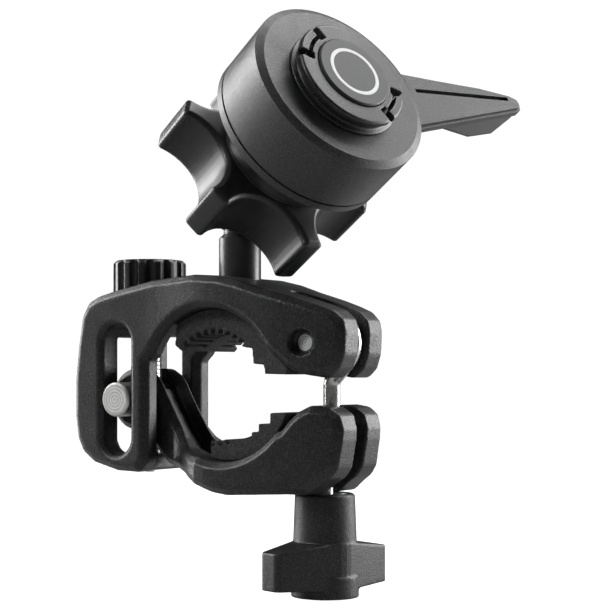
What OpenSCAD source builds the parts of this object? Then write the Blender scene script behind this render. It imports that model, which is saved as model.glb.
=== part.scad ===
// Handlebar phone mount: a hinged two-jaw clamp with a swing bolt, a ball post with a lobed
// lock nut, and a sprung twist-lock head. Millimetres, +Z up, +X towards the swing bolt,
// +Y along the handlebar. The origin is the handlebar's axis at the middle of the clamp.

/* [Handlebar clamp] */
// Radius of the handlebar that the pads close on
bar_r = 12.7; // [11.1:0.1:13.5]
// Half width of the clamp at the yoke
yoke_half_w = 14; // [13:0.5:15]
// Half width where the clamp bulges around the ball post
bulge_half_w = 15.4; // [14.5:0.1:16]
// Half width of the clamp at its free end
tip_half_w = 9.2; // [8.5:0.1:10]
// Chamfer on the edges of both jaws
jaw_chamfer = 1.7; // [1.4:0.1:1.9]
// Half gap between the two cheeks of the yoke
yoke_gap = 7.5; // [7:0.1:8]
// Half width of the slot that the swing bolt lies in
fork_slot = 2.25; // [2.2:0.05:2.6]

/* [Hinge and adjuster] */
// Place of the hinge and the adjuster screw along X
hinge_x = -28; // [-29:0.5:-27]
// Height of the hinge pin at rest
hinge_z = -3.1; // [-4:0.1:-2]
// Radius of the hinge pin
hinge_r = 4.25; // [4:0.05:4.4]
// Radius of the adjuster screw
screw_r = 3; // [2.5:0.1:3]
// Radius of the thumbwheel
wheel_r = 9.25; // [8:0.05:9.4]
// Number of flutes on the thumbwheel
wheel_flutes = 14; // [10:1:18]

/* [Swing bolt and knob] */
// Place of the cross pin along X
pivot_x = 25.3; // [25:0.1:25.6]
// Height of the cross pin
pivot_z = 10.5; // [10:0.1:11]
// Radius of the swing bolt's rod
rod_r = 2; // [1.8:0.1:2.1]
// Place of the bolt's straight shank along X
bolt_x = 24.4; // [24.2:0.1:24.8]
// Half length of the knob's wings
wing_r = 17.2; // [15:0.1:20]
// Height of the top of the knob's stem
stem_top = -24.75; // [-26:0.05:-24.7]

/* [Ball joint] */
// Height of the ball's centre
ball_z = 45.8; // [45.6:0.1:46.4]
// Radius of the ball
ball_r = 8.5; // [8.2:0.1:8.6]
// Radius of the post
post_r = 5.15; // [4.8:0.05:5.3]
// Heading of the head's axis about Z, from +X
head_heading = -18.5; // [-24:0.5:-12]
// Rise of the head's axis above the horizontal
head_rise = 30; // [30:0.5:34]

/* [Lock nut] */
// Radius of the nut's lobes
lobe_r = 25.6; // [24:0.1:25.8]
// Radius at the bottom of the hollows between lobes
nut_root_r = 16.2; // [16:0.1:17]
// Thickness of the nut
nut_h = 14.3; // [13:0.1:14.4]
// Number of lobes
lobes = 6; // [5:1:7]
// Direction of a lobe in the head's face, from the horizontal
lobe_a = 31.1; // [0:0.1:60]

/* [Head] */
// Radius of the release sleeve
sleeve_r = 22.5; // [21.5:0.1:23]
// Distance of the sleeve's front face from the ball's centre
face_n = 44.7; // [44:0.1:45]
// Radius of the twist-lock puck
puck_r = 13.9; // [13.5:0.1:14.2]
// Height of the puck
puck_h = 4.1; // [4:0.1:5]
// Reach of the lever from the head's axis
lever_r = 59.4; // [55:0.1:62]

/* [Hidden] */
$fn = 64;
run_gap = 0.05;
big = 120;

// Jaw surfaces that other pieces seat on
arch_z = 0.6;
arch_r = 20;
pad_back_r = arch_r - jaw_chamfer - 0.1;
cradle_x = 4;
cradle_z = 0.5;
cradle_r = 19.7;
cradle_face_r = cradle_r - jaw_chamfer;
pad_half_w = 11;
pad_band = 3;
channel_w = 4.6;
channel_depth = 3.6;
slot_low = -16.7;
slot_high = 15.3;
slot_flare = 1.2;
boss_low = 12.5;
yoke_mouth_x = -15.5;
bridge_top = -17;
bridge_end = -22.9;
fork_start = 15.2;
lower_fork_start = 20.3;

// Hinge, adjuster and cross pin
clip_seat = -19.8;
screw_end_r = 1.5;
wheel_seat = 21.4;
wheel_top = 31.9;
ear_r = 7.8;
ear_half_w = 6.8;
pin_r = 2.25;
pin_bore_r = pin_r + run_gap;
cross_half = 10;
eye_r = 6.9;
bush_r = 4.8;

// Pad teeth
groove_w = 1.1;
groove_depth = 1.35;
groove_pitch = 9.4;

// Seat, stem and knob
seat_z = -24.6;
stem_r = 7.1;
stem_foot_r = 7.6;
washer_h = 0.9;
wing_top = -37.8;
wing_low = -46.9;
hub_top = -36.2;
hub_low = -49;
hub_r = 8;

// Post
post_seat = 24.2;
screw_head_z = 21.2;
neck_r = 4;
shoulder_drop = 9.6;
neck_drop = 8.5;

// Ball joint shells, from the inside out
liner_in = ball_r + run_gap;
liner_out = liner_in + 0.55;
seat_in = liner_out + run_gap;
seat_out = seat_in + 0.55;
collet_in = seat_out + run_gap;
collet_out = 11.8;
thread_r = 12.3;

// Stations along the head's axis, measured from the ball's centre
rim_n = -0.3;
nut_n = 4;
nut_front = nut_n + nut_h;
flange_n = 19.2;
ring_n = 27.5;
ring_h = 2.3;
shelf_n = 30.1;
deck_n = 32;
plate_t = 3.2;
plate_n = face_n - plate_t;
lever_top = face_n - 0.8;
sleeve_in = 19.6;
collar_r = 15;
flange_r = 18.6;
pillar_r = 8.6;
bevel_w = 1.8;
bevel_h = 0.9;
puck_n = face_n + 0.2;
puck_top = puck_n + puck_h;
badge_r = 9.2;
badge_n = puck_top - 1.1;
badge_h = 1.7;
tongue_a = -41;

// Half width of the jaws at a place along X
function smooth(t) = t * t * (3 - 2 * t);
function clamp01(t) = min(1, max(0, t));
function half_w(x) = yoke_half_w + (bulge_half_w - yoke_half_w) * smooth(clamp01((x + 18) / 20))
    - (bulge_half_w - tip_half_w) * pow(clamp01(x / 35.3), 2.1);
function lower_half_w(x) = ear_half_w + (half_w(x) - ear_half_w) * smooth(clamp01((x + 16.5) / 14.5));

// Points on an arc in the XZ plane
function arc(cx, cz, r, a0, a1, n) =
    [for (i = [0:n]) [cx + r * cos(a0 + (a1 - a0) * i / n), cz + r * sin(a0 + (a1 - a0) * i / n)]];

// Outline of a jaw's flat side, inside its chamfer
upper_outline = concat(
    [[-38.1, -15.1], [-35, -17.3], [-28.4, -19], [-22, -19.2], [-20.3, -17.6]],
    [[-20.2, 7.2]],
    arc(0, arch_z, arch_r, 155, 29, 21),
    [[20.4, 7.9], [22.6, 5.9], [25.4, 4.8], [30.4, 4.0], [32.2, 5.4]],
    [[33.2, 8], [33.5, 13], [33.1, 14.9], [31.4, 16.4], [28, 17.7], [22.6, 19.4]],
    [[14.8, 21.6], [9, 23.5], [3.4, 24.8], [-4, 25.3], [-17, 24.4], [-28.4, 22.3]],
    [[-33.6, 21.1], [-36.4, 19.8], [-38.1, 17], [-39.3, 10], [-40.2, 2], [-40.2, -7.5], [-39.5, -12.4]]);
ramp_line = [[-5.9, -17.8], [-9.7, -16.3], [-12.9, -13.7], [-14.95, -10.9], [-16.55, -8.3],
    [-18.35, -5.3], [-20.15, -2.2], [-21.5, 0.4], [-22.6, 1.6], [-24.6, 2.8]];
lower_outline = concat(
    arc(hinge_x, hinge_z, ear_r - jaw_chamfer, 90, 270, 16),
    [[-22, -12.6], [-17, -17.4], [-12.6, -18.6], [-7.7, -19.6], [-3, -21.6], [1.7, -23.1]],
    [[5.5, -23.6], [21, seat_z + jaw_chamfer], [25.6, seat_z + jaw_chamfer], [28.2, -20.9]],
    [[30.6, -19.3], [31.8, -17.6], [32.8, -12], [33, -9.4], [32.4, -7.2], [30.6, -6.1]],
    [[27.2, -5.7], [24.9, -6.9], [22.9, -8.8], [21, -11.2]],
    arc(cradle_x, cradle_z, cradle_r, 321, 251, 14),
    ramp_line);

// Jaw solids
module edge_tool() {
    rotate([90, 0, 0]) {
        cylinder(h = jaw_chamfer, r1 = jaw_chamfer, r2 = 0, $fn = 12);
        mirror([0, 0, 1]) cylinder(h = jaw_chamfer, r1 = jaw_chamfer, r2 = 0, $fn = 12);
    }
}
module jaw_side(outline) {
    rotate([90, 0, 0]) linear_extrude(big, center = true) polygon(outline);
}
module jaw_plan(widths) {
    last = len(widths) - 1;
    step = 78 / last;
    far = [for (i = [0:last]) [-42 + i * step, widths[i] - jaw_chamfer]];
    near = [for (i = [last:-1:0]) [-42 + i * step, jaw_chamfer - widths[i]]];
    linear_extrude(big, center = true) polygon(concat(far, near));
}
module slot_side(grow) {
    hull() for (z = [slot_low + hinge_r, slot_high - hinge_r])
        translate([hinge_x, z]) circle(hinge_r + grow, $fn = 32);
}
module guide_slot() {
    w = hinge_r + run_gap;
    top = slot_high - hinge_r;
    low = slot_low + hinge_r;
    rotate([90, 0, 0]) {
        for (z = [low, top]) translate([hinge_x, z, -big / 2]) cylinder(h = big, r = w);
        translate([hinge_x - w, low, -big / 2]) cube([2 * w, top - low, big]);
    }
}
module slot_flare(side) {
    lip = 0.6;
    hull() for (p = [[slot_flare + lip, lip], [-0.4, -slot_flare - 0.4]])
        translate([0, side * (yoke_half_w + p[1]), 0]) rotate([90, 0, 0])
            linear_extrude(0.02, center = true) slot_side(p[0]);
}
module yoke_space() {
    w = yoke_gap + jaw_chamfer;
    low = bridge_top - jaw_chamfer;
    translate([yoke_mouth_x + jaw_chamfer - big / 2, -w, low])
        cube([big / 2, 2 * w, boss_low + jaw_chamfer - low]);
}
module upper_jaw() {
    color("#242526") difference() {
        minkowski() {
            difference() {
                intersection() {
                    jaw_side(upper_outline);
                    jaw_plan([for (i = [0:26]) half_w(-42 + 3 * i)]);
                }
                yoke_space();
            }
            edge_tool();
        }
        guide_slot();
        for (side = [-1, 1]) slot_flare(side);
        translate([fork_start + fork_slot, -fork_slot, -big / 2]) cube([big, 2 * fork_slot, big]);
        translate([fork_start + fork_slot, 0, -big / 2]) cylinder(h = big, r = fork_slot);
        translate([pivot_x, 0, pivot_z]) rotate([90, 0, 0]) {
            cylinder(h = big, r = pin_r, center = true);
            for (side = [-1, 1])
                translate([0, 0, side * (cross_half + 10)]) cylinder(h = 20, r = 3, center = true);
        }
        translate([hinge_x, 0, 0]) cylinder(h = big, r = screw_r + run_gap);
        translate([hinge_x, 0, wheel_seat]) cylinder(h = big, r = wheel_r + 0.5);
        translate([hinge_x, 0, -big / 2]) {
            cylinder(h = big / 2, r = screw_end_r + 0.1);
            cylinder(h = big / 2 + clip_seat, r = 3.2);
        }
        translate([bridge_end, -ear_half_w - 0.2, -25]) cube([8, 2 * ear_half_w + 0.4, 9]);
        translate([0, 0, post_seat]) cylinder(h = big, r = post_r);
        cylinder(h = big, r = 2.1);
        cylinder(h = screw_head_z, r = 4.1);
    }
}

// Pads: a smooth middle band and toothed sides, with stairs at the open end
module pad_shape(outline, half) {
    rotate([90, 0, 0]) linear_extrude(2 * half, center = true) polygon(outline);
}
module pad_grooves(first, last) {
    for (a = [first:groove_pitch:last], side = [-1, 1]) rotate([0, -a, 0])
        translate([bar_r - 1, side * (pad_band + big / 2) - big / 2, -groove_w / 2])
            cube([groove_depth + 1, big, groove_w]);
}
module bar_hole() {
    rotate([90, 0, 0]) cylinder(h = big, r = bar_r, center = true, $fn = 96);
}
module upper_pad() {
    stairs = [[15.95, 9.4], [16.3, 8.95], [19.15, 6.5], [21.2, 4.55], [20.9, 3.1], [14.7, 3.25], [14.4, 5.4],
        [11.3, 5.6], [11.2, 9.2], [8.4, 9.6]];
    color("#2b2c2d") difference() {
        pad_shape(concat([[0, 2], [-9, 8.6], [-9.9, 8.9], [-11.6, 10.2]],
            arc(0, arch_z, pad_back_r, 128, 33, 20), stairs), pad_half_w);
        bar_hole();
        pad_grooves(53, 131);
        translate([0, 0, 15.4]) cylinder(h = 20, r = 4.1);
        translate([fork_start + fork_slot, -fork_slot, -big / 2]) cube([big, 2 * fork_slot, big]);
        translate([fork_start + fork_slot, 0, -big / 2]) cylinder(h = big, r = fork_slot);
    }
}
module lower_pad() {
    tread = concat([[-0.9, -16.6], [-0.9, -12.6], [0.3, -12.2], [10.9, -12.2], [10.9, -10.35], [12.9, -10.35]],
        [[12.9, -8.4], [16.1, -8.4], [16.1, -5.8], [18.9, -5.8]]);
    band = [[-0.6, -14.5], [-0.6, -12.4], [0.3, -11], [8.4, -11], [9.6, -14]];
    key = [[1.2, -15], [1.2, -20.1], [4, -20.3], [10, -19.4], [14, -17.6], [12, -14]];
    color("#2b2c2d") union() {
        difference() {
            union() {
                pad_shape(concat(tread, arc(cradle_x, cradle_z, cradle_face_r - 0.1, 339, 256, 18)), pad_half_w);
                pad_shape(band, pad_band - 0.3);
            }
            bar_hole();
            pad_grooves(-90.5, -49);
        }
        pad_shape(key, channel_w - 0.05);
    }
}

module lower_jaw() {
    color("#242526") difference() {
        minkowski() {
            intersection() {
                jaw_side(lower_outline);
                jaw_plan([for (i = [0:26]) lower_half_w(-42 + 3 * i)]);
            }
            edge_tool();
        }
        translate([hinge_x, 0, hinge_z]) rotate([90, 0, 0])
            cylinder(h = big, r = hinge_r + run_gap, center = true);
        translate([hinge_x - 4.7, -screw_r - 0.4, -big / 2]) cube([9.4, 2 * screw_r + 0.8, big]);
        translate([lower_fork_start + fork_slot, -fork_slot, -big / 2]) cube([big, 2 * fork_slot, big]);
        translate([lower_fork_start + fork_slot, 0, -big / 2]) cylinder(h = big, r = fork_slot);
        rotate([90, 0, 0]) linear_extrude(2 * channel_w, center = true)
            offset(delta = channel_depth - jaw_chamfer)
                polygon(concat(arc(cradle_x, cradle_z, cradle_r, 314, 251, 13), ramp_line, [[-24.6, 8], [8, -2]]));
    }
}

// Hinge and adjuster
module hinge_pin() {
    color("#a9abad") difference() {
        translate([hinge_x, 0, hinge_z]) rotate([90, 0, 0]) {
            cylinder(h = 2 * yoke_half_w - 1, r = hinge_r, center = true);
            for (side = [0, 1]) mirror([0, 0, side])
                translate([0, 0, yoke_half_w - 0.5]) cylinder(h = 0.5, r1 = hinge_r, r2 = hinge_r - 0.5);
        }
        translate([hinge_x, 0, -big / 2]) cylinder(h = big, r = screw_r + run_gap);
    }
}
module thumbwheel() {
    h = wheel_top - wheel_seat - 0.1;
    color("#1f2021") translate([hinge_x, 0, wheel_seat + 0.1]) difference() {
        union() {
            cylinder(h = h - 0.8, r = wheel_r);
            translate([0, 0, h - 0.8]) cylinder(h = 0.8, r1 = wheel_r, r2 = wheel_r - 0.8);
        }
        for (i = [0:wheel_flutes - 1]) rotate([0, 0, i * 360 / wheel_flutes])
            translate([wheel_r + 0.45, 0, -1]) cylinder(h = h + 2, r = 1.35, $fn = 24);
        translate([0, 0, -1]) cylinder(h = h - 1.5, r = screw_r);
    }
}
module adjuster_screw() {
    top = wheel_top - 2.6;
    step = bridge_top + 0.2;
    color("#8e9092") translate([hinge_x, 0, 0]) {
        translate([0, 0, step]) cylinder(h = top - step, r = screw_r);
        translate([0, 0, -21.2]) cylinder(h = step + 21.3, r = screw_end_r);
        translate([0, 0, -21.6]) cylinder(h = 0.4, r1 = screw_end_r - 0.4, r2 = screw_end_r);
    }
}
module retaining_clip() {
    color("#77797b") translate([hinge_x, 0, clip_seat - 0.85]) difference() {
        cylinder(h = 0.8, r = 2.8);
        translate([0, 0, -1]) cylinder(h = 3, r = screw_end_r);
        translate([0, -1, -1]) cube([10, 2, 3]);
    }
}

// Swing bolt
module cross_pin() {
    color("#b4b6b8") translate([pivot_x, 0, pivot_z]) rotate([90, 0, 0]) {
        cylinder(h = 2 * cross_half - 0.8, r = pin_r, center = true);
        for (side = [0, 1]) mirror([0, 0, side])
            translate([0, 0, cross_half - 0.4]) cylinder(h = 0.4, r1 = pin_r, r2 = pin_r - 0.4);
    }
}
module pivot_bush() {
    color("#3a3b3c") translate([pivot_x, 0, pivot_z]) rotate([90, 0, 0]) difference() {
        cylinder(h = 2 * fork_slot - 0.3, r = bush_r, center = true);
        cylinder(h = big, r = pin_bore_r, center = true);
    }
}
// The rod's centre line runs up from its foot, bends out and wraps round the bush
bend_r = 3;
bend_x = 26.3;
eye_start = -45;
eye_end = 230;
eye_in = [pivot_x + eye_r * cos(eye_start), pivot_z + eye_r * sin(eye_start)];
bend_z = eye_in[1] - (eye_in[0] - bend_x) - bend_r * tan(22.5);
rod_line = concat(
    [[bolt_x, -44], [bolt_x, -30], [bolt_x, -17.5]],
    arc(bolt_x - 20, -17.5, 20, 0, -4, 2),
    [[bend_x, -5], [bend_x, -2.5]],
    arc(bend_x + bend_r, bend_z, bend_r, 180, 135, 4),
    arc(pivot_x, pivot_z, eye_r, eye_start, eye_end, 30));
function dir_at(i) = let (d = rod_line[min(len(rod_line) - 1, i + 1)] - rod_line[max(0, i - 1)]) d / norm(d);
// A solid skinned over closed rings that all have the same number of points
module skin(rings) {
    sides = len(rings[0]);
    last = len(rings) - 1;
    walls = [for (i = [0:last - 1], k = [0:sides - 1], half = [0, 1])
        let (n = (k + 1) % sides, a = i * sides, b = a + sides)
        half == 0 ? [a + k, b + k, b + n] : [a + k, b + n, a + n]];
    ends = [[for (k = [0:sides - 1]) k], [for (k = [sides - 1:-1:0]) last * sides + k]];
    polyhedron([for (ring = rings) each ring], concat(ends, walls));
}
module swing_bolt() {
    color("#c2c4c6") skin([for (i = [0:len(rod_line) - 1]) let (d = dir_at(i)) [for (k = [0:17])
        let (u = rod_r * cos(k * 20))
        [rod_line[i][0] + u * d[1], rod_r * sin(k * 20), rod_line[i][1] - u * d[0]]]]);
}
module thrust_washer() {
    color("#9a9c9e") translate([bolt_x, 0, stem_top + 0.06 - washer_h]) difference() {
        cylinder(h = washer_h, r = 5.2);
        translate([0, 0, -1]) cylinder(h = 3, r = rod_r + run_gap);
    }
}

// Clamp knob
module knob_wings() {
    rotate([0, 0, 73.2]) hull() {
        translate([0, 0, wing_low]) cylinder(h = hub_top - wing_low, r = stem_foot_r + 0.1, $fn = 32);
        for (x = [-1, 1], y = [-1.7, 1.7]) translate([x * (wing_r - 1.7), y, wing_low + 0.3])
            cylinder(h = wing_top - wing_low - 0.3, r = 1.7, $fn = 32);
    }
}
module clamp_knob() {
    color("#232425") translate([bolt_x, 0, 0]) difference() {
        union() {
            knob_wings();
            translate([0, 0, hub_top - 2]) cylinder(h = stem_top - hub_top + 1.5, r1 = stem_foot_r, r2 = stem_r);
            translate([0, 0, stem_top - 0.5]) cylinder(h = 0.5, r1 = stem_r, r2 = stem_r - 0.5);
            translate([0, 0, hub_low]) cylinder(h = 5, r = hub_r);
        }
        translate([0, 0, -46]) cylinder(h = big, r = 2.5);
        translate([0, 0, stem_top - 12]) cylinder(h = big, r = 3.6);
        translate([0, 0, stem_top + 0.05 - washer_h]) cylinder(h = 5, r = 5.3);
        translate([0, 0, hub_low - 1]) cylinder(h = 2.2, r = 4.4);
    }
}
module knob_insert() {
    top = stem_top - washer_h - 0.05;
    color("#b08d4a") translate([bolt_x, 0, stem_top - 12]) difference() {
        cylinder(h = top - stem_top + 12, r = 3.6);
        translate([0, 0, -1]) cylinder(h = 20, r = rod_r + run_gap);
    }
}
module knob_plug() {
    color("#1c1d1e") translate([bolt_x, 0, hub_low + 0.2]) cylinder(h = 1, r = 4.4);
}

// Ball post
module ball_post() {
    color("#2a2b2c") difference() {
        union() {
            translate([0, 0, post_seat]) cylinder(h = ball_z - shoulder_drop - post_seat, r = post_r);
            translate([0, 0, ball_z - shoulder_drop])
                cylinder(h = shoulder_drop - neck_drop, r1 = post_r, r2 = neck_r);
            translate([0, 0, ball_z - neck_drop - 0.1]) cylinder(h = 4, r = neck_r);
            translate([0, 0, ball_z]) sphere(ball_r, $fn = 96);
        }
        translate([0, 0, post_seat - 1]) cylinder(h = 10, r = 1.9);
    }
}
module post_screw() {
    color("#8e9092") difference() {
        union() {
            translate([0, 0, 17.6]) cylinder(h = screw_head_z - 17.6, r = 3.9);
            translate([0, 0, screw_head_z - 0.5]) cylinder(h = 12, r = 1.9);
        }
        translate([0, 0, 16]) cylinder(h = 3.6, r = 1.45, $fn = 6);
    }
}

// The head's own frame: the ball's centre is its origin, Z runs along the head's axis,
// X is level and Y points up the head's face
module head() {
    translate([0, 0, ball_z]) rotate([0, 0, head_heading]) rotate([0, 90 - head_rise, 0])
        rotate([0, 0, 90]) children();
}
module tube(n, h, r_out, r_in) {
    translate([0, 0, n]) difference() {
        cylinder(h = h, r = r_out);
        translate([0, 0, -1]) cylinder(h = h + 2, r = r_in);
    }
}
module shell(r_in, r_out, reach) {
    rotate_extrude() difference() {
        intersection() {
            circle(r_out, $fn = 96);
            polygon([[0, 0], [40, 40 / tan(reach)], [40, 40], [0, 40]]);
        }
        circle(r_in, $fn = 96);
        translate([-big, -big / 2]) square([big, big]);
    }
}
module ball_liner() {
    color("#d8d6cf") head() shell(liner_in, liner_out, 62);
}
module ball_seat() {
    color("#c9c7c0") head() shell(seat_in, seat_out, 86);
}
module head_collet() {
    color("#303132") head() difference() {
        rotate_extrude() difference() {
            polygon([[0, rim_n], [collet_in + 0.8, rim_n], [collet_out, 1.2], [collet_out, 9],
                [thread_r, 9.4], [thread_r, flange_n], [0, flange_n]]);
            circle(collet_in, $fn = 96);
            translate([-big, -big / 2]) square([big, big]);
        }
        for (i = [0:5]) rotate([0, 0, 30 + 60 * i]) translate([7, -0.5, -3]) cube([8, 1, 10]);
        translate([0, 0, 6]) cylinder(h = 20, r = 2.5);
    }
}
module slip_ring() {
    color("#c9c7c0") head() tube(nut_front + 0.1, 0.7, 15, thread_r + run_gap);
}
module nut_outline(edge) {
    scallop_r = 10.9;
    reach = nut_root_r + scallop_r;
    offset(delta = -edge) difference() {
        circle(lobe_r, $fn = 96);
        for (i = [0:lobes - 1]) rotate([0, 0, lobe_a + (i + 0.5) * 360 / lobes]) hull() {
            translate([reach, 0]) circle(scallop_r, $fn = 48);
            translate([reach + 8, 0]) circle(scallop_r + 1.4, $fn = 48);
        }
    }
}
module lock_nut() {
    edge = 0.9;
    color("#2b2c2d") head() difference() {
        minkowski() {
            translate([0, 0, nut_n + edge]) linear_extrude(nut_h - 2 * edge) nut_outline(edge);
            for (side = [0, 1]) mirror([0, 0, side]) cylinder(h = edge, r1 = edge, r2 = 0, $fn = 12);
        }
        cylinder(h = 40, r = thread_r + run_gap);
        translate([0, 0, nut_n - 0.01]) cylinder(h = 3, r1 = 14.4, r2 = thread_r + run_gap);
    }
}
module head_hub() {
    color("#303132") head() difference() {
        union() {
            translate([0, 0, flange_n]) cylinder(h = shelf_n - flange_n, r = collar_r);
            translate([0, 0, shelf_n]) cylinder(h = deck_n - shelf_n, r = flange_r);
            translate([0, 0, deck_n]) cylinder(h = puck_n - deck_n, r = pillar_r);
        }
        translate([0, 0, 10]) cylinder(h = 40, r = 2.5);
        tube(deck_n - 1.6, 5, 15.4, 11.4);
    }
}
module release_spring() {
    wire = 0.58;
    coil_r = 13.4;
    steps = 120;
    step_a = 15;
    low = deck_n - 1.55 + wire;
    rise = (plate_n - 0.05 - wire - low) / steps;
    color("#a9abad") head() skin([for (i = [0:steps]) [for (k = [0:9])
        let (r = coil_r - wire * cos(k * 36), a = i * step_a)
        [r * cos(a), r * sin(a), low + i * rise + wire * sin(k * 36)]]]);
}
// The lever tapers along the head's level direction
lever_outline = [[17, 7.6], [33, 6.9], [46.6, 6.5], [56.3, 5.4], [lever_r - 0.4, 4.4], [lever_r, 2.8],
    [lever_r - 0.2, 1.4], [lever_r - 0.9, 0.8], [21.7, -8.6], [17, -9.6]];
module release_sleeve() {
    color("#2c2d2e") head() difference() {
        union() {
            rotate_extrude() polygon([[sleeve_in, ring_n + ring_h + 0.05], [sleeve_r, ring_n + ring_h + 0.05],
                [sleeve_r, face_n - bevel_h], [sleeve_r - bevel_w, face_n], [0, face_n], [0, plate_n],
                [sleeve_in, plate_n]]);
            translate([0, 0, plate_n]) linear_extrude(lever_top - plate_n - 0.7) polygon(lever_outline);
            translate([0, 0, plate_n]) linear_extrude(lever_top - plate_n)
                offset(delta = -0.7) polygon(lever_outline);
        }
        translate([0, 0, 20]) cylinder(h = plate_n - 20, r = sleeve_in);
        translate([0, 0, 20]) cylinder(h = 40, r = pillar_r + 0.1);
        rotate([0, 0, 2.6]) translate([24, 0.6, lever_top - 1.3]) cube([lever_r - 28, 1.1, 5]);
    }
}
module sleeve_back_ring() {
    color("#2c2d2e") head() difference() {
        tube(ring_n, ring_h, sleeve_r, collar_r + 0.15);
        tube(ring_n + ring_h - 0.5, 1, sleeve_r + 1, sleeve_r - 0.4);
    }
}
module lever_grip() {
    color("#1e1f20") head() hull() {
        translate([0, 0, plate_n - 0.6]) linear_extrude(0.6)
            polygon([[30, -5.6], [57, 0.3], [57, 2.6], [30, 1]]);
        translate([0, 0, plate_n - 4]) linear_extrude(0.6)
            polygon([[43, -4.4], [52, -2.4], [52, 0.4], [43, -0.8]]);
    }
}
module puck_tongue_cuts() {
    floor_n = puck_n + 1.4;
    for (i = [0, 1]) rotate([0, 0, tongue_a + 180 * i]) {
        for (j = [-1, 1]) rotate([0, 0, j * 21]) translate([10.2, -1, floor_n]) cube([5, 2, 9]);
        translate([0, 0, floor_n]) rotate([0, 0, -21]) rotate_extrude(angle = 42)
            translate([10.8, 0]) square([0.9, 9]);
    }
}
module lock_puck() {
    wall_r = puck_r - 1;
    color("#2d2e2f") head() difference() {
        rotate_extrude() polygon([[0, puck_n], [puck_r + 0.2, puck_n], [puck_r + 0.2, puck_n + 0.5],
            [wall_r, puck_n + 0.9], [wall_r, puck_top - 2], [puck_r - 0.1, puck_top - 1.5],
            [puck_r - 0.1, puck_top - 0.4], [puck_r - 0.5, puck_top], [0, puck_top]]);
        translate([0, 0, badge_n - 0.02]) cylinder(h = 5, r = badge_r + 0.08);
        translate([0, 0, puck_n - 1]) cylinder(h = 20, r = 2.5);
        translate([0, 0, badge_n - 1.9]) cylinder(h = 10, r = 4.6);
        puck_tongue_cuts();
    }
}
module puck_screw() {
    head_n = badge_n - 1.9;
    color("#8e9092") head() difference() {
        union() {
            translate([0, 0, head_n]) cylinder(h = 1.8, r = 4.2);
            translate([0, 0, flange_n + 1.5]) cylinder(h = head_n - flange_n - 1.4, r = 2.4);
        }
        translate([0, 0, head_n + 0.6]) cylinder(h = 4, r = 1.7, $fn = 6);
    }
}
module badge_disc() {
    color("#4a4b4d") head() {
        translate([0, 0, badge_n]) cylinder(h = badge_h - 0.3, r = badge_r);
        translate([0, 0, badge_n + badge_h - 0.3]) cylinder(h = 0.3, r1 = badge_r, r2 = badge_r - 0.3);
    }
}

upper_jaw();
upper_pad();
lower_jaw();
lower_pad();
hinge_pin();
thumbwheel();
adjuster_screw();
retaining_clip();
cross_pin();
pivot_bush();
swing_bolt();
thrust_washer();
clamp_knob();
knob_insert();
knob_plug();
ball_post();
post_screw();
ball_liner();
ball_seat();
head_collet();
slip_ring();
lock_nut();
head_hub();
release_spring();
release_sleeve();
sleeve_back_ring();
lever_grip();
lock_puck();
puck_screw();
badge_disc();
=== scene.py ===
"""Visual model of a handlebar phone mount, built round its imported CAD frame. Metres, +Z up."""
import math

import bmesh
import bpy
from mathutils import Matrix, Vector


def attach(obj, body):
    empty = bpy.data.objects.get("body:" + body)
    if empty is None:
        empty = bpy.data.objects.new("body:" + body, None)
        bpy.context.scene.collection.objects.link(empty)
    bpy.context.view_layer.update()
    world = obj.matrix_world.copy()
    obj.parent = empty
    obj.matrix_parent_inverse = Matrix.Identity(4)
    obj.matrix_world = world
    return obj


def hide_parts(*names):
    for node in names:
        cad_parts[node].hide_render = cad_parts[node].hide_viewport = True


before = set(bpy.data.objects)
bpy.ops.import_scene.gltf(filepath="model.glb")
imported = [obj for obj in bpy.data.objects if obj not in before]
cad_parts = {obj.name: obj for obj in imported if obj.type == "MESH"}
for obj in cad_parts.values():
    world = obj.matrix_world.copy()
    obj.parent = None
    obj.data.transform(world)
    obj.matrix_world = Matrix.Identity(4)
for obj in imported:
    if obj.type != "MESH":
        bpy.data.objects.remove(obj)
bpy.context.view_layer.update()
scene = bpy.context.scene
MM = 0.001

# Where the part's own axes lie, in millimetres in the row frame
BALL = Vector((0, 0, 45.8))
HEADING, RISE = math.radians(-18.5), math.radians(30)
HEAD_AXIS = Vector((math.cos(RISE) * math.cos(HEADING), math.cos(RISE) * math.sin(HEADING), math.sin(RISE)))
HEAD_LEVEL = Vector((-math.sin(HEADING), math.cos(HEADING), 0))
HEAD_UP = HEAD_AXIS.cross(HEAD_LEVEL)
HINGE = Vector((-28, 0, -3.1))
PIVOT = Vector((25.3, 0, 10.5))
SCREW_FOOT = Vector((-28, 0, -16.6))


def head_matrix():
    """From the head's own axes (level, up, axis) and millimetres to the row frame."""
    turn = Matrix((HEAD_LEVEL, HEAD_UP, HEAD_AXIS)).transposed().to_4x4()
    return Matrix.Scale(MM, 4) @ Matrix.Translation(BALL) @ turn


HEAD = head_matrix()


# Camera, light and floor. The lens and its shift are in the units of FRAME_SIDE, distances in metres
FRAME_SIDE = 610
FOCAL_LENGTH = 1606
LENS_SHIFT = (65, 67)
SENSOR_WIDTH = 36
VIEW_AZIMUTH = 35
VIEW_DISTANCE = 0.392
EYE_HEIGHT = 0.0037
FLOOR_Z = -0.0505


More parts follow.
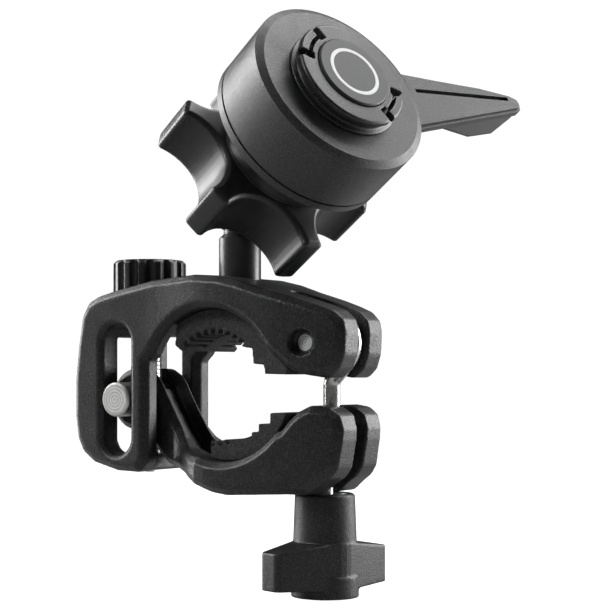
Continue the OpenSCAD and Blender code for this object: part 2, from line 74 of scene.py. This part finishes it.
def camera():
    azimuth = math.radians(VIEW_AZIMUTH)
    away = Vector((math.sin(azimuth), -math.cos(azimuth), 0))
    data = bpy.data.cameras.new("camera")
    data.sensor_width, data.lens = SENSOR_WIDTH, SENSOR_WIDTH * FOCAL_LENGTH / FRAME_SIDE
    data.shift_x, data.shift_y = LENS_SHIFT[0] / FRAME_SIDE, LENS_SHIFT[1] / FRAME_SIDE
    data.clip_start, data.clip_end = 0.01, 20
    obj = bpy.data.objects.new("camera", data)
    obj.location = away * VIEW_DISTANCE + Vector((0, 0, EYE_HEIGHT))
    obj.rotation_euler = (-away).to_track_quat("-Z", "Y").to_euler()
    scene.collection.objects.link(obj)
    scene.camera = obj


def softbox(name, azimuth, height, distance, size, power):
    """A rectangular lamp at an azimuth round the object, turned towards its middle."""
    a = math.radians(azimuth)
    place = Vector((math.sin(a) * distance, -math.cos(a) * distance, height))
    data = bpy.data.lights.new(name, "AREA")
    data.shape, data.size, data.size_y, data.energy = "RECTANGLE", size[0], size[1], power
    obj = bpy.data.objects.new(name, data)
    obj.location = place
    obj.rotation_euler = (Vector((0, 0, 0.015)) - place).to_track_quat("-Z", "Y").to_euler()
    scene.collection.objects.link(obj)


def seen_directly(nodes):
    return nodes.new("ShaderNodeLightPath").outputs["Is Camera Ray"]


def studio():
    """Rim light from both sides, and a white surround that only the camera sees at full strength."""
    softbox("softbox_left", -84, 0.10, 0.50, (0.24, 0.62), 5.2)
    softbox("softbox_right", 142, 0.08, 0.50, (0.24, 0.62), 5.0)
    softbox("softbox_top", 150, 0.55, 0.26, (0.34, 0.34), 2.6)
    softbox("softbox_front", -30, 0.50, 0.60, (0.20, 0.20), 2.6)
    world = bpy.data.worlds.new("studio")
    scene.world = world
    world.use_nodes = True
    nodes, links = world.node_tree.nodes, world.node_tree.links
    room = nodes["Background"]
    room.inputs["Color"].default_value = (1, 1, 1, 1)
    room.inputs["Strength"].default_value = 0.035
    white = nodes.new("ShaderNodeBackground")
    white.inputs["Color"].default_value = (1, 1, 1, 1)
    white.inputs["Strength"].default_value = 1.05
    choose = nodes.new("ShaderNodeMixShader")
    links.new(seen_directly(nodes), choose.inputs[0])
    links.new(room.outputs[0], choose.inputs[1])
    links.new(white.outputs[0], choose.inputs[2])
    links.new(choose.outputs[0], nodes["World Output"].inputs["Surface"])
    scene.view_settings.view_transform = "Standard"


def floor():
    mesh = bpy.data.meshes.new("floor")
    half, z = 3.0, FLOOR_Z
    mesh.from_pydata([(-half, -half, z), (half, -half, z), (half, half, z), (-half, half, z)], [], [(0, 1, 2, 3)])
    obj = bpy.data.objects.new("floor", mesh)
    scene.collection.objects.link(obj)
    mat = bpy.data.materials.new("floor_paper")
    mat.use_nodes = True
    nodes, links = mat.node_tree.nodes, mat.node_tree.links
    shader = nodes["Principled BSDF"]
    shader.inputs["Base Color"].default_value = (0.32, 0.32, 0.32, 1)
    shader.inputs["Roughness"].default_value = 0.9
    shader.inputs["Emission Color"].default_value = (1, 1, 1, 1)
    links.new(seen_directly(nodes), shader.inputs["Emission Strength"])
    mesh.materials.append(mat)


camera()
studio()
floor()


# Materials
class Finish:
    """A material under construction: a Principled shader and short calls to wire nodes to it."""

    def __init__(self, name, base, rough, metal=0.0, specular=0.5):
        self.mat = bpy.data.materials.new(name)
        self.mat.use_nodes = True
        self.nodes, self.links = self.mat.node_tree.nodes, self.mat.node_tree.links
        self.shader = self.nodes["Principled BSDF"]
        self.shader.inputs["Base Color"].default_value = (*base, 1)
        self.shader.inputs["Roughness"].default_value = rough
        self.shader.inputs["Metallic"].default_value = metal
        self.shader.inputs["Specular IOR Level"].default_value = specular
        self.coord = self.nodes.new("ShaderNodeTexCoord").outputs["Object"]

    def noise(self, size_mm, detail=3.0, roughness=0.6, stretch=None):
        tex = self.nodes.new("ShaderNodeTexNoise")
        tex.inputs["Scale"].default_value = 1 / (size_mm * MM)
        tex.inputs["Detail"].default_value = detail
        tex.inputs["Roughness"].default_value = roughness
        source = self.coord
        if stretch:
            mapping = self.nodes.new("ShaderNodeMapping")
            mapping.inputs["Scale"].default_value = stretch
            self.links.new(self.coord, mapping.inputs["Vector"])
            source = mapping.outputs["Vector"]
        self.links.new(source, tex.inputs["Vector"])
        return tex.outputs["Fac"]

    def cells(self, size_mm):
        tex = self.nodes.new("ShaderNodeTexVoronoi")
        tex.inputs["Scale"].default_value = 1 / (size_mm * MM)
        self.links.new(self.coord, tex.inputs["Vector"])
        return tex

    def spread(self, value, from_range, to_range):
        node = self.nodes.new("ShaderNodeMapRange")
        node.inputs["From Min"].default_value, node.inputs["From Max"].default_value = from_range
        node.inputs["To Min"].default_value, node.inputs["To Max"].default_value = to_range
        self.links.new(value, node.inputs["Value"])
        return node.outputs["Result"]

    def combine(self, kind, a, b=None):
        node = self.nodes.new("ShaderNodeMath")
        node.operation = kind
        for socket, value in zip(node.inputs, (a, b)):
            if value is None:
                continue
            if isinstance(value, (int, float)):
                socket.default_value = value
            else:
                self.links.new(value, socket)
        return node.outputs[0]

    def colour(self, fac, low, high):
        node = self.nodes.new("ShaderNodeMix")
        node.data_type = "RGBA"
        node.inputs["A"].default_value, node.inputs["B"].default_value = (*low, 1), (*high, 1)
        self.links.new(fac, node.inputs["Factor"])
        self.links.new(node.outputs["Result"], self.shader.inputs["Base Color"])

    def roughness(self, value):
        self.links.new(value, self.shader.inputs["Roughness"])

    def bump(self, height, depth_mm, strength):
        node = self.nodes.new("ShaderNodeBump")
        node.inputs["Strength"].default_value = strength
        node.inputs["Distance"].default_value = depth_mm * MM
        self.links.new(height, node.inputs["Height"])
        self.links.new(node.outputs["Normal"], self.shader.inputs["Normal"])

    def worn_edges(self, amount):
        """Lighter where a corner is rubbed, from the mesh's own pointiness."""
        geometry = self.nodes.new("ShaderNodeNewGeometry")
        return self.spread(geometry.outputs["Pointiness"], (0.51, 0.60), (0.0, amount))


def moulded_nylon(name, base, rough, grain_mm, depth_mm, fleck):
    """Glass-filled nylon: spark-eroded grain, pale fibre flecks and slightly uneven sheen."""
    f = Finish(name, base, rough)
    grain = f.noise(grain_mm, 2.0, 0.55)
    cloud = f.noise(9.0, 2.0)
    flecks = f.cells(0.42)
    bright = f.spread(flecks.outputs["Distance"], (0.16, 0.05), (0.0, 1.0))
    chosen = f.combine("GREATER_THAN", f.noise(0.5, 0.0), 0.56)
    sparkle = f.combine("MULTIPLY", f.combine("MULTIPLY", bright, chosen), fleck)
    pores = f.spread(f.noise(grain_mm * 0.8, 1.0), (0.44, 0.72), (0.0, 0.75))
    mix = f.combine("ADD", f.combine("ADD", f.spread(cloud, (0.3, 0.7), (0.0, 0.15)), sparkle), f.worn_edges(0.35))
    f.colour(f.combine("ADD", mix, pores),
             tuple(c * 0.55 for c in base), tuple(min(1, c * 3.4 + 0.012) for c in base))
    uneven = f.combine("ADD", f.spread(cloud, (0.3, 0.7), (rough - 0.05, rough + 0.05)),
                       f.spread(grain, (0.3, 0.7), (-0.05, 0.05)))
    f.roughness(f.combine("SUBTRACT", uneven, f.combine("MULTIPLY", sparkle, 0.25)))
    f.bump(grain, depth_mm, 0.75)
    return f.mat


def satin_nylon(name, base, rough):
    """Polished-tool nylon: smooth with faint flow marks."""
    f = Finish(name, base, rough)
    cloud = f.noise(6.0, 3.0)
    fine = f.noise(0.25, 2.0)
    f.colour(f.combine("ADD", f.spread(cloud, (0.3, 0.7), (0.0, 0.4)), f.worn_edges(0.4)),
             tuple(c * 0.85 for c in base), tuple(c * 2.2 + 0.004 for c in base))
    f.roughness(f.spread(cloud, (0.3, 0.7), (rough - 0.04, rough + 0.05)))
    f.bump(fine, 0.012, 0.6)
    return f.mat


def rubber(name, base):
    """Moulded rubber: coarse grain, chalky where dust has settled."""
    f = Finish(name, base, 0.78, specular=0.35)
    grain = f.noise(0.45, 3.0, 0.7)
    dust = f.noise(3.0, 4.0, 0.7)
    chalk = f.combine("ADD", f.spread(dust, (0.35, 0.75), (0.0, 0.4)), f.spread(grain, (0.42, 0.7), (0.0, 0.8)))
    f.colour(chalk, tuple(c * 0.6 for c in base), tuple(c * 3.2 for c in base))
    f.roughness(f.spread(dust, (0.3, 0.7), (0.72, 0.85)))
    f.bump(grain, 0.09, 0.7)
    return f.mat


def drawn_steel(name, base, rough):
    """Bare rod or screw: fine lines along its length, which is Z, and dull patches."""
    f = Finish(name, base, rough, 1.0)
    lines = f.noise(0.10, 3.0, 0.6, (1.0, 1.0, 0.06))
    dull = f.noise(2.5, 3.0)
    f.colour(f.spread(dull, (0.35, 0.7), (0.0, 1.0)), base, tuple(c * 0.72 for c in base))
    f.roughness(f.combine("ADD", f.spread(lines, (0.3, 0.7), (rough - 0.08, rough + 0.08)),
                          f.spread(dull, (0.3, 0.7), (-0.03, 0.05))))
    f.bump(lines, 0.01, 0.5)
    return f.mat


def turned_metal(name, base, rough, centre, pitch_mm, metal):
    """Lathe-turned end faces: rings round an axis that runs along Y."""
    f = Finish(name, base, rough, metal)
    place = f.nodes.new("ShaderNodeMapping")
    place.inputs["Location"].default_value = (-centre[0] * MM, 0, -centre[2] * MM)
    place.inputs["Scale"].default_value = (1, 0, 1)
    f.links.new(f.coord, place.inputs["Vector"])
    radius = f.nodes.new("ShaderNodeVectorMath")
    radius.operation = "LENGTH"
    f.links.new(place.outputs["Vector"], radius.inputs[0])
    rings = f.combine("SINE", f.combine("MULTIPLY", radius.outputs["Value"], 2 * math.pi / (pitch_mm * MM)))
    wander = f.noise(0.2, 3.0)
    dull = f.noise(1.6, 3.0)
    shadow = f.combine("MULTIPLY", f.spread(rings, (-1, 1), (0.0, 1.0)), f.spread(dull, (0.3, 0.7), (0.35, 0.9)))
    f.colour(shadow, base, tuple(c * 0.5 for c in base))
    f.roughness(f.spread(wander, (0.3, 0.7), (rough - 0.06, rough + 0.08)))
    f.bump(rings, 0.02, 0.55)
    return f.mat


def printed_grey(name, base):
    """Printed or painted mark: an almost even colour."""
    f = Finish(name, base, 0.5)
    f.colour(f.noise(0.7, 3.0), tuple(c * 0.9 for c in base), tuple(c * 1.1 for c in base))
    f.roughness(f.spread(f.noise(0.4, 2.0), (0.3, 0.7), (0.46, 0.56)))
    f.bump(f.noise(0.16, 2.0), 0.008, 0.5)
    return f.mat


# moulded_nylon takes roughness, grain size and depth in mm, and how strongly the flecks show
BLACK = (0.0100, 0.0103, 0.0108)
NYLON = moulded_nylon("clamp_nylon", BLACK, 0.44, 0.50, 0.13, 0.8)
KNOB_NYLON = moulded_nylon("knob_nylon", BLACK, 0.44, 0.46, 0.11, 0.7)
WHEEL_NYLON = satin_nylon("wheel_nylon", (0.009, 0.0093, 0.0097), 0.38)
NUT_NYLON = satin_nylon("nut_nylon", (0.0125, 0.0128, 0.0135), 0.36)
POST_NYLON = satin_nylon("post_nylon", (0.0125, 0.0128, 0.0135), 0.34)
SLEEVE_NYLON = moulded_nylon("sleeve_nylon", (0.0120, 0.0123, 0.0130), 0.42, 0.42, 0.08, 0.5)
HUB_NYLON = satin_nylon("hub_nylon", (0.010, 0.0103, 0.0107), 0.42)
GRIP_NYLON = moulded_nylon("grip_nylon", (0.0085, 0.0087, 0.009), 0.5, 0.26, 0.03, 0.2)
PUCK_NYLON = moulded_nylon("puck_nylon", (0.0125, 0.0128, 0.0135), 0.40, 0.36, 0.06, 0.4)
PAD_RUBBER = rubber("pad_rubber", (0.020, 0.020, 0.0205))
ZINC = drawn_steel("zinc_rod", (0.70, 0.70, 0.68), 0.24)
SCREW_STEEL = drawn_steel("screw_steel", (0.52, 0.53, 0.54), 0.3)
HINGE_METAL = turned_metal("hinge_metal", (0.80, 0.80, 0.78), 0.45, HINGE, 0.8, 0.9)
PIN_METAL = turned_metal("pin_metal", (0.78, 0.79, 0.80), 0.55, PIVOT, 0.6, 0.45)
BRASS = drawn_steel("insert_brass", (0.72, 0.50, 0.22), 0.3)
ACETAL = satin_nylon("ball_acetal", (0.55, 0.54, 0.50), 0.45)
BADGE_GREY = printed_grey("badge_grey", (0.034, 0.035, 0.038))
MARK_WHITE = printed_grey("mark_white", (0.80, 0.80, 0.80))


# Mesh tools
def new_piece(name, mesh, material, body, slot, *nodes):
    """Links a finished mesh as a piece that rides on a body and may stand for CAD nodes."""
    obj = bpy.data.objects.new(name, mesh)
    scene.collection.objects.link(obj)
    mesh.materials.clear()
    mesh.materials.append(material)
    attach(obj, body)
    if nodes:
        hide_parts(*nodes)
    return obj


def baked(obj):
    """The object's evaluated shape as a plain mesh; the object itself is removed."""
    graph = bpy.context.evaluated_depsgraph_get()
    graph.update()
    mesh = bpy.data.meshes.new_from_object(obj.evaluated_get(graph), depsgraph=graph)
    bpy.data.objects.remove(obj)
    return mesh


def shade(mesh, degrees=32):
    for polygon in mesh.polygons:
        polygon.use_smooth = True
    mesh.set_sharp_from_angle(angle=math.radians(degrees))


def merged_copy(node):
    """A CAD node's mesh as one closed skin: vertices welded and the stored normals taken off."""
    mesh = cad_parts[node].data.copy()
    bm = bmesh.new()
    bm.from_mesh(mesh)
    bmesh.ops.remove_doubles(bm, verts=bm.verts, dist=2e-6)
    bm.to_mesh(mesh)
    bm.free()
    stored = mesh.attributes.get("custom_normal")
    if stored:
        mesh.attributes.remove(stored)
    return mesh


def moulded(node, body, material, voxel_mm, passes):
    """A CAD node as it leaves a mould: the same shape with every edge softly rounded."""
    source = bpy.data.objects.new(node + "_blank", merged_copy(node))
    scene.collection.objects.link(source)
    remesh = source.modifiers.new("cells", "REMESH")
    remesh.mode, remesh.voxel_size, remesh.use_smooth_shade = "VOXEL", voxel_mm * MM, True
    smooth = source.modifiers.new("round", "SMOOTH")
    smooth.factor, smooth.iterations = 0.5, passes
    mesh = baked(source)
    shade(mesh, 60)
    return new_piece(node + "_moulded", mesh, material, body, node, node)


def filleted(profile, steps=3):
    """Rounds the corners of a closed (r, n) profile; each corner is (r, n, fillet radius)."""
    out = []
    count = len(profile)
    for i, (r, n, fillet) in enumerate(profile):
        here = Vector((r, n))
        before = Vector(profile[i - 1][:2]) - here
        after = Vector(profile[(i + 1) % count][:2]) - here
        if fillet <= 0:
            out.append(here)
            continue
        angle = before.angle(after)
        reach = min(fillet / math.tan(angle / 2), before.length * 0.49, after.length * 0.49)
        a, b = here + before.normalized() * reach, here + after.normalized() * reach
        for k in range(steps + 1):
            t = k / steps
            out.append((1 - t) ** 2 * a + 2 * t * (1 - t) * here + t * t * b)
    return out


def lathed(name, profile, material, body, slot, segments=160):
    """Turns a closed profile round the head's axis."""
    ring = filleted(profile)
    bm = bmesh.new()
    rows = []
    for s in range(segments):
        a = 2 * math.pi * s / segments
        rows.append([bm.verts.new(HEAD @ Vector((p.x * math.cos(a), p.x * math.sin(a), p.y))) for p in ring])
    for s in range(segments):
        here, there = rows[s], rows[(s + 1) % segments]
        for k in range(len(ring)):
            j = (k + 1) % len(ring)
            bm.faces.new((here[k], there[k], there[j], here[j]))
    bmesh.ops.recalc_face_normals(bm, faces=bm.faces)
    mesh = bpy.data.meshes.new(name)
    bm.to_mesh(mesh)
    bm.free()
    shade(mesh)
    return new_piece(name, mesh, material, body, slot)


def crisp(node, body, material, degrees=28):
    """A CAD node's own shape with its round faces shaded round and its corners left sharp."""
    mesh = merged_copy(node)
    shade(mesh, degrees)
    return new_piece(node + "_turned", mesh, material, body, node, node)


def screw_thread(name, foot, radius_mm, pitch_mm, length_mm, ridge_mm, material, body, slot):
    """Rolled thread: a closed ridge wound up a screw that stands along Z from foot."""
    tree = bpy.data.node_groups.new(name + "_winding", "GeometryNodeTree")
    face = tree.interface
    sizes = {"Radius": radius_mm * MM, "Pitch": pitch_mm * MM, "Length": length_mm * MM, "Ridge": ridge_mm * MM}
    face.new_socket("Geometry", in_out="INPUT", socket_type="NodeSocketGeometry")
    for label in sizes:
        face.new_socket(label, in_out="INPUT", socket_type="NodeSocketFloat")
    face.new_socket("Finish", in_out="INPUT", socket_type="NodeSocketMaterial")
    face.new_socket("Geometry", in_out="OUTPUT", socket_type="NodeSocketGeometry")
    node, link = tree.nodes.new, tree.links.new
    inlet, outlet = node("NodeGroupInput"), node("NodeGroupOutput")
    turns = node("ShaderNodeMath")
    turns.operation = "DIVIDE"
    link(inlet.outputs["Length"], turns.inputs[0])
    link(inlet.outputs["Pitch"], turns.inputs[1])
    spiral = node("GeometryNodeCurveSpiral")
    spiral.inputs["Resolution"].default_value = 28
    link(turns.outputs[0], spiral.inputs["Rotations"])
    for end in ("Start Radius", "End Radius"):
        link(inlet.outputs["Radius"], spiral.inputs[end])
    link(inlet.outputs["Length"], spiral.inputs["Height"])
    upright = node("GeometryNodeSetCurveNormal")
    upright.mode = "Z_UP"
    link(spiral.outputs["Curve"], upright.inputs["Curve"])
    ridge = node("GeometryNodeCurvePrimitiveCircle")
    ridge.inputs["Resolution"].default_value = 6
    link(inlet.outputs["Ridge"], ridge.inputs["Radius"])
    sweep = node("GeometryNodeCurveToMesh")
    sweep.inputs["Fill Caps"].default_value = True
    link(upright.outputs["Curve"], sweep.inputs["Curve"])
    link(ridge.outputs["Curve"], sweep.inputs["Profile Curve"])
    place = node("GeometryNodeTransform")
    place.inputs["Translation"].default_value = foot * MM
    link(sweep.outputs["Mesh"], place.inputs["Geometry"])
    real = node("GeometryNodeRealizeInstances")
    link(place.outputs["Geometry"], real.inputs["Geometry"])
    coat = node("GeometryNodeSetMaterial")
    link(real.outputs["Geometry"], coat.inputs["Geometry"])
    link(inlet.outputs["Finish"], coat.inputs["Material"])
    link(coat.outputs["Geometry"], outlet.inputs["Geometry"])

    holder = bpy.data.objects.new(name + "_blank", bpy.data.meshes.new(name + "_blank"))
    scene.collection.objects.link(holder)
    winding = holder.modifiers.new("winding", "NODES")
    winding.node_group = tree
    values = {**sizes, "Finish": material}
    for item in face.items_tree:
        if item.in_out == "INPUT" and item.name in values:
            winding[item.identifier] = values[item.name]
    mesh = baked(holder)
    bm = bmesh.new()
    bm.from_mesh(mesh)
    bmesh.ops.remove_doubles(bm, verts=bm.verts, dist=1e-7)
    bmesh.ops.recalc_face_normals(bm, faces=bm.faces)
    bm.to_mesh(mesh)
    bm.free()
    shade(mesh, 45)
    return new_piece(name, mesh, material, body, slot)


# Pieces. moulded takes a voxel size in mm and the number of smoothing passes
moulded("upper_jaw", "clamp_body", NYLON, 0.36, 3)
moulded("lower_jaw", "lower_jaw_body", NYLON, 0.28, 3)
moulded("upper_pad", "clamp_body", PAD_RUBBER, 0.25, 5)
moulded("lower_pad", "lower_jaw_body", PAD_RUBBER, 0.25, 5)
moulded("thumbwheel", "adjuster", WHEEL_NYLON, 0.2, 4)
moulded("clamp_knob", "knob", KNOB_NYLON, 0.25, 4)
moulded("lock_nut", "nut", NUT_NYLON, 0.3, 3)
moulded("lock_puck", "head", PUCK_NYLON, 0.18, 4)

crisp("release_sleeve", "release", SLEEVE_NYLON, 24)
crisp("lever_grip", "release", GRIP_NYLON, 24)
crisp("hinge_pin", "hinge_carriage", HINGE_METAL)
crisp("cross_pin", "clamp_body", PIN_METAL)
crisp("swing_bolt", "swing", ZINC)
crisp("adjuster_screw", "adjuster", SCREW_STEEL)
crisp("thrust_washer", "knob_carriage", SCREW_STEEL)
crisp("ball_post", "clamp_body", POST_NYLON)
crisp("slip_ring", "nut_carriage", HUB_NYLON)
crisp("head_hub", "head", HUB_NYLON)
crisp("head_collet", "head", HUB_NYLON)
crisp("sleeve_back_ring", "release", SLEEVE_NYLON)
crisp("badge_disc", "head", BADGE_GREY)

lathed("badge_ring", [(5.6, 49.57, 0), (6.5, 49.57, 0), (6.5, 49.64, 0.02), (5.6, 49.64, 0.02)],
       MARK_WHITE, "head", "badge_disc")

screw_thread("adjuster_thread", SCREW_FOOT, radius_mm=2.93, pitch_mm=1.0, length_mm=36, ridge_mm=0.16,
             material=SCREW_STEEL, body="adjuster", slot="adjuster_screw")

HIDDEN = {"retaining_clip": SCREW_STEEL, "pivot_bush": BRASS, "knob_insert": BRASS, "knob_plug": WHEEL_NYLON,
          "post_screw": SCREW_STEEL, "ball_liner": ACETAL, "ball_seat": ACETAL, "release_spring": SCREW_STEEL,
          "puck_screw": SCREW_STEEL}
for node_name, finish in HIDDEN.items():
    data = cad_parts[node_name].data
    data.materials.clear()
    data.materials.append(finish)
